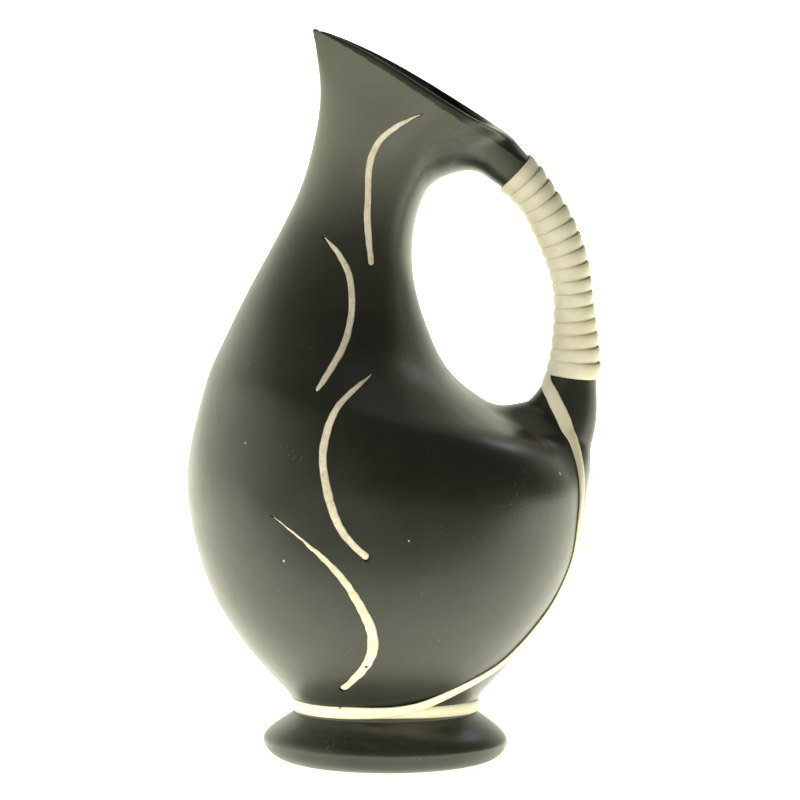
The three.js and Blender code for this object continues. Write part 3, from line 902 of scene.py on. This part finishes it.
class Shader:
    """A material built node by node."""

    def __init__(self, name):
        self.material = bpy.data.materials.new(name)
        self.material.use_nodes = True
        self.tree = self.material.node_tree
        self.surface = self.tree.nodes["Principled BSDF"]
        self.place = self.add("ShaderNodeTexCoord").outputs["Object"]

    def add(self, kind, **settings):
        node = self.tree.nodes.new(kind)
        for key, value in settings.items():
            setattr(node, key, value)
        return node

    def link(self, start, end):
        self.tree.links.new(start, end)

    def noise(self, scale, detail=3.0, roughness=0.5, distortion=0.0):
        node = self.add("ShaderNodeTexNoise")
        node.inputs["Scale"].default_value = scale
        node.inputs["Detail"].default_value = detail
        node.inputs["Roughness"].default_value = roughness
        node.inputs["Distortion"].default_value = distortion
        self.link(self.place, node.inputs["Vector"])
        return node.outputs["Fac"]

    def spots(self, scale, size):
        """1 in small round spots, 0 between them."""
        node = self.add("ShaderNodeTexVoronoi")
        node.inputs["Scale"].default_value = scale
        self.link(self.place, node.inputs["Vector"])
        return self.ramp(node.outputs["Distance"], [(size * 0.7, 1), (size, 0)])

    def near(self, place, radius):
        """1 within a distance of a point on the jug, in millimetres, and 0 well beyond it."""
        node = self.add("ShaderNodeVectorMath", operation="DISTANCE")
        self.link(self.place, node.inputs[0])
        node.inputs[1].default_value = to_frame(place).tolist()
        return smooth_range(self.tree, node.outputs["Value"], 0.6 * radius * MM, 1.2 * radius * MM, 1, 0)

    def ramp(self, value, stops):
        node = self.add("ShaderNodeValToRGB")
        elements = node.color_ramp.elements
        while len(elements) < len(stops):
            elements.new(0.5)
        for element, (place, shade) in zip(elements, stops):
            element.position = place
            element.color = shade if isinstance(shade, tuple) else (shade, shade, shade, 1)
        self.link(value, node.inputs["Fac"])
        return node.outputs["Color"]

    def mix(self, factor, a, b):
        node = self.add("ShaderNodeMix", data_type="RGBA")
        for name, value in (("Factor", factor), ("A", a), ("B", b)):
            set_input(self.tree, node.inputs[name], value)
        return node.outputs["Result"]

    def math(self, operation, a, b):
        node = self.add("ShaderNodeMath", operation=operation)
        for socket, value in zip(node.inputs, (a, b)):
            set_input(self.tree, socket, value)
        return node.outputs[0]

    def bump(self, height, strength, distance, normal=None):
        node = self.add("ShaderNodeBump")
        node.inputs["Strength"].default_value = strength
        node.inputs["Distance"].default_value = distance
        self.link(height, node.inputs["Height"])
        if normal is not None:
            self.link(normal, node.inputs["Normal"])
        return node.outputs["Normal"]


def linear(red, green, blue):
    """An sRGB colour out of 255, as the shaders want it."""
    def step(value):
        value /= 255
        return value / 12.92 if value <= 0.04045 else ((value + 0.055) / 1.055) ** 2.4
    return (step(red), step(green), step(blue), 1)


def glaze_material():
    """Satin black, with a painted reflection down the sides of the neck that stops short of the lip."""
    s = Shader("black_satin_glaze")
    cloud = s.noise(22, 4, 0.6)
    base = s.mix(s.ramp(cloud, [(0.35, 0), (0.7, 1)]), linear(36, 38, 31), linear(48, 50, 42))

    # painted reflection: the neck is paler where its skin faces sideways, up to a ragged line under the lip
    place = s.add("ShaderNodeSeparateXYZ")
    s.link(s.place, place.inputs[0])
    up = s.add("ShaderNodeSeparateXYZ")
    s.link(s.add("ShaderNodeNewGeometry").outputs["Normal"], up.inputs[0])
    ragged = s.math("SUBTRACT", s.noise(420, 5, 0.7), 0.5)
    height = s.math("MULTIPLY", place.outputs["Z"], 3)
    high = s.ramp(height, [(0.49, 0), (0.61, 0.14), (0.67, 0.7), (0.71, 1)])
    tilted = s.math("ADD", up.outputs["Z"], s.math("MULTIPLY", ragged, 0.25))
    level = s.math("ADD", s.math("MULTIPLY", tilted, 0.5), 0.5)
    sideways = s.ramp(level, [(0.17, 0), (0.3, 1), (0.7, 1), (0.78, 0)])
    across = s.math("SUBTRACT", place.outputs["X"], AXIS_X)
    steeper = s.math("ADD", s.math("MULTIPLY", across, LIP_BAND_BEND / MM), LIP_BAND_SLOPE)
    fall = s.math("SUBTRACT", LIP_BAND_HEIGHT * MM, s.math("MULTIPLY", across, steeper))
    above = s.math("SUBTRACT", place.outputs["Z"], fall)
    frayed = s.math("ADD", s.math("MULTIPLY", ragged, 1.2), 0.5)
    band = s.math("ADD", s.math("MULTIPLY", above, 500), frayed)
    # painted reflection of the pale floor, paler neck sides mixed into the glaze's colour
    painted_neck_reflection = s.math("MULTIPLY", s.math("MULTIPLY", high, sideways), s.ramp(band, [(0.35, 1), (0.65, 0)]))
    base = s.mix(painted_neck_reflection, base, linear(97, 99, 86))

    rare = s.ramp(s.noise(60, 2), [(0.56, 0), (0.62, 1)])
    speck_here = s.math("MULTIPLY", s.spots(420, 0.11), rare)
    base = s.mix(speck_here, base, linear(96, 96, 78))
    scratches = s.ramp(s.noise(520, 4, 0.75, 1.5), [(0.6, 0), (0.68, 1)])
    for spot, radius in SCUFFS:
        base = s.mix(s.math("MULTIPLY", s.near(spot, radius), scratches), base, linear(120, 120, 100))
    for spot, radius in PALE_DOTS:
        base = s.mix(s.near(spot, radius), base, linear(190, 190, 165))
    s.link(base, s.surface.inputs["Base Color"])

    satin = s.ramp(s.noise(48, 5, 0.65), [(0.3, 0.29), (0.75, 0.38)])
    s.link(satin, s.surface.inputs["Roughness"])
    s.surface.inputs["IOR"].default_value = 1.52
    skin = s.bump(s.noise(900, 2, 0.5), 0.12, 0.0002)
    skin = s.bump(s.noise(130, 3, 0.5), 0.16, 0.0006, skin)
    skin = s.bump(speck_here, 0.35, 0.0002, skin)
    s.link(skin, s.surface.inputs["Normal"])
    return s.material


def ivory_material():
    s = Shader("ivory_strip")
    cloud = s.noise(60, 4, 0.6)
    base = s.mix(s.ramp(cloud, [(0.3, 0), (0.75, 1)]), linear(232, 223, 192), linear(246, 240, 216))
    grime = s.ramp(s.noise(190, 5, 0.7), [(0.6, 0), (0.85, 0.35)])
    base = s.mix(grime, base, linear(178, 162, 118))
    base = s.mix(s.near(BAND_CHIP, 1), base, linear(150, 135, 95))
    s.link(base, s.surface.inputs["Base Color"])
    s.link(s.ramp(s.noise(120, 3), [(0.3, 0.34), (0.7, 0.5)]), s.surface.inputs["Roughness"])
    s.surface.inputs["IOR"].default_value = 1.5
    s.surface.inputs["Subsurface Weight"].default_value = 0.15
    s.surface.inputs["Subsurface Radius"].default_value = (0.002, 0.0016, 0.001)
    s.link(s.bump(s.noise(700, 3, 0.6), 0.2, 0.0002), s.surface.inputs["Normal"])
    return s.material


def slip_material():
    s = Shader("cream_slip")
    cloud = s.noise(160, 5, 0.7)
    base = s.mix(s.ramp(cloud, [(0.35, 0), (0.65, 1)]), linear(214, 201, 166), linear(243, 236, 214))
    stain = s.ramp(s.noise(420, 4, 0.7), [(0.56, 0), (0.74, 0.6)])
    base = s.mix(stain, base, linear(158, 136, 96))
    base = s.mix(s.near(STROKE_CRACK, 0.8), base, linear(70, 60, 42))
    s.link(base, s.surface.inputs["Base Color"])
    s.surface.inputs["Roughness"].default_value = 0.72
    s.link(s.bump(s.noise(800, 4, 0.7), 0.5, 0.0004), s.surface.inputs["Normal"])
    return s.material


# ---------------------------------------------------------------- making the pieces


def make_clay(glaze):
    pot, handle = split_handle(whole_skin())
    cutters = []
    for index, rows in enumerate(STROKES):
        for side in (-1, 1):
            cutters.append(groove_rings(index, side, stroke_frames(rows, side), 1.2))
    points, faces = joined_tubes(cutters)
    tool = mesh_from("tool", points, faces)
    pot = boolean_cut(pot, tool)
    for mesh in (pot, handle):
        mesh.polygons.foreach_set("use_smooth", np.ones(len(mesh.polygons), bool))
        shade_by_field(mesh)
    add_piece("glazed_body", pot, glaze, "glaze", "body_shell")
    add_piece("glazed_handle", handle, glaze, "glaze", "handle")


def make_foot(glaze):
    add_piece("turned_foot", mesh_from("turned_foot", *foot_mesh()), glaze, "glaze", "pedestal_foot")


def make_strips(ivory):
    add_piece("binding", mesh_from("binding", *binding_mesh()), ivory, "ivory_strip", "handle_binding")
    waist = mesh_from("strip_to_waist", *waist_strip_mesh())
    add_piece("strip_to_waist", waist, ivory, "ivory_strip", "waist_strip")


def make_strokes(cream):
    for index, rows in enumerate(STROKES):
        for face, side in (("front", -1), ("back", 1)):
            rings = filling_rings(index, side, stroke_frames(rows, side))
            name = f"slip_{face}_{index + 1}"
            mesh = mesh_from(name, *closed_tube(rings))
            add_piece(name, mesh, cream, "cream_slip", f"stroke_{face}_{index + 1}")


# ---------------------------------------------------------------- floor and light

FLOOR_SIZE = 24  # metres
FLOOR_GLOW = 2.3  # under the jug and behind it,
FLOOR_GLOW_IN_FRONT = 0.02  # and on the dark side of the room,
GLOW_FADES = (-0.24, -0.04)  # with the change from one to the other between these Y, in metres
FOOT_SHADE = 0.55  # painted shadow: how much of the glow the foot takes away round itself,
FOOT_SHADE_REACH = 58  # as far out as this, in millimetres

BACKDROP_TOWARDS = (-0.6, 0.8, 0)
BACKDROP_FADES = (-0.5, 0.9, 0.02, 1.75)  # directions away from it and towards it, and the strengths there
CEILING_FADES = (0.25, 0.75, 1.0, 0.12)  # the same for directions' heights
WARM = (1, 1, 0.8, 1)


def make_floor():
    """A pale sheet that glows under and behind the jug, and fades towards the dark room in front of it."""
    mesh = bpy.data.meshes.new("floor")
    far = FLOOR_SIZE / 2
    mesh.from_pydata([(-far, -far, 0), (far, -far, 0), (far, far, 0), (-far, far, 0)], [], [(0, 1, 2, 3)])
    floor = bpy.data.objects.new("floor", mesh)
    bpy.context.scene.collection.objects.link(floor)
    s = Shader("pale_floor")
    s.link(s.ramp(s.noise(3, 2), [(0.3, 0.9), (0.7, 0.93)]), s.surface.inputs["Base Color"])
    s.surface.inputs["Roughness"].default_value = 0.9
    split = s.add("ShaderNodeSeparateXYZ")
    s.link(s.place, split.inputs[0])
    glow = smooth_range(s.tree, split.outputs["Y"], *GLOW_FADES, FLOOR_GLOW_IN_FRONT, FLOOR_GLOW)
    # painted shadow: the floor's glow is dimmed round the foot
    shade = s.math("SUBTRACT", 1, s.math("MULTIPLY", s.near((0, 0, 0), FOOT_SHADE_REACH), FOOT_SHADE))
    s.link(s.math("MULTIPLY", glow, shade), s.surface.inputs["Emission Strength"])
    s.surface.inputs["Emission Color"].default_value = WARM
    mesh.materials.append(s.material)


def make_world():
    """A bright backdrop behind and to the left, a dim room in front. Seen directly, it is white all round."""
    world = bpy.data.worlds.new("studio")
    bpy.context.scene.world = world
    world.use_nodes = True
    tree = world.node_tree
    background = tree.nodes["Background"]
    direction = tree.nodes.new("ShaderNodeTexCoord").outputs["Generated"]
    towards = tree.nodes.new("ShaderNodeVectorMath")
    towards.operation = "DOT_PRODUCT"
    tree.links.new(direction, towards.inputs[0])
    towards.inputs[1].default_value = BACKDROP_TOWARDS
    split = tree.nodes.new("ShaderNodeSeparateXYZ")
    tree.links.new(direction, split.inputs[0])

    def choose(kind, factor, otherwise, when):
        node = tree.nodes.new("ShaderNodeMix")
        node.data_type = kind
        tree.links.new(factor, node.inputs["Factor"])
        set_input(tree, node.inputs["A"], otherwise)
        set_input(tree, node.inputs["B"], when)
        return node.outputs["Result"]

    strength = tree.nodes.new("ShaderNodeMath")
    strength.operation = "MULTIPLY"
    tree.links.new(smooth_range(tree, towards.outputs["Value"], *BACKDROP_FADES), strength.inputs[0])
    tree.links.new(smooth_range(tree, split.outputs["Z"], *CEILING_FADES), strength.inputs[1])
    seen = tree.nodes.new("ShaderNodeLightPath").outputs["Is Camera Ray"]
    tree.links.new(choose("RGBA", seen, WARM, (1, 1, 1, 1)), background.inputs["Color"])
    tree.links.new(choose("FLOAT", seen, strength.outputs[0], 1.0), background.inputs["Strength"])


def make_lamp(name, place, target, size, power, colour=(1, 1, 1)):
    data = bpy.data.lights.new(name, "AREA")
    data.shape = "DISK"
    data.size = size
    data.energy = power
    data.color = colour
    lamp = bpy.data.objects.new(name, data)
    bpy.context.scene.collection.objects.link(lamp)
    lamp.location = place
    lamp.rotation_euler = (Vector(place) - Vector(target)).to_track_quat("Z", "Y").to_euler()
    lamp.visible_camera = False
    return lamp


def make_lights():
    middle = (0, 0, 0.13)
    make_lamp("overhead", (0.3, 0.4, 1.9), middle, size=1.6, power=2)
    shoulder = (0.04, -0.05, 0.12)
    make_lamp("window", (0.95, 0.83, 1.1), shoulder, size=0.2, power=0.9, colour=(0.85, 0.92, 1))
    fill = make_lamp("fill", (-0.8, -1.55, 0.2), middle, size=1.1, power=26, colour=(1, 0.99, 0.95))
    fill.visible_glossy = False


glaze = glaze_material()
make_clay(glaze)
make_foot(glaze)
make_strips(ivory_material())
make_strokes(slip_material())
make_floor()
make_world()
make_lights()
bpy.context.scene.view_settings.view_transform = "Standard"
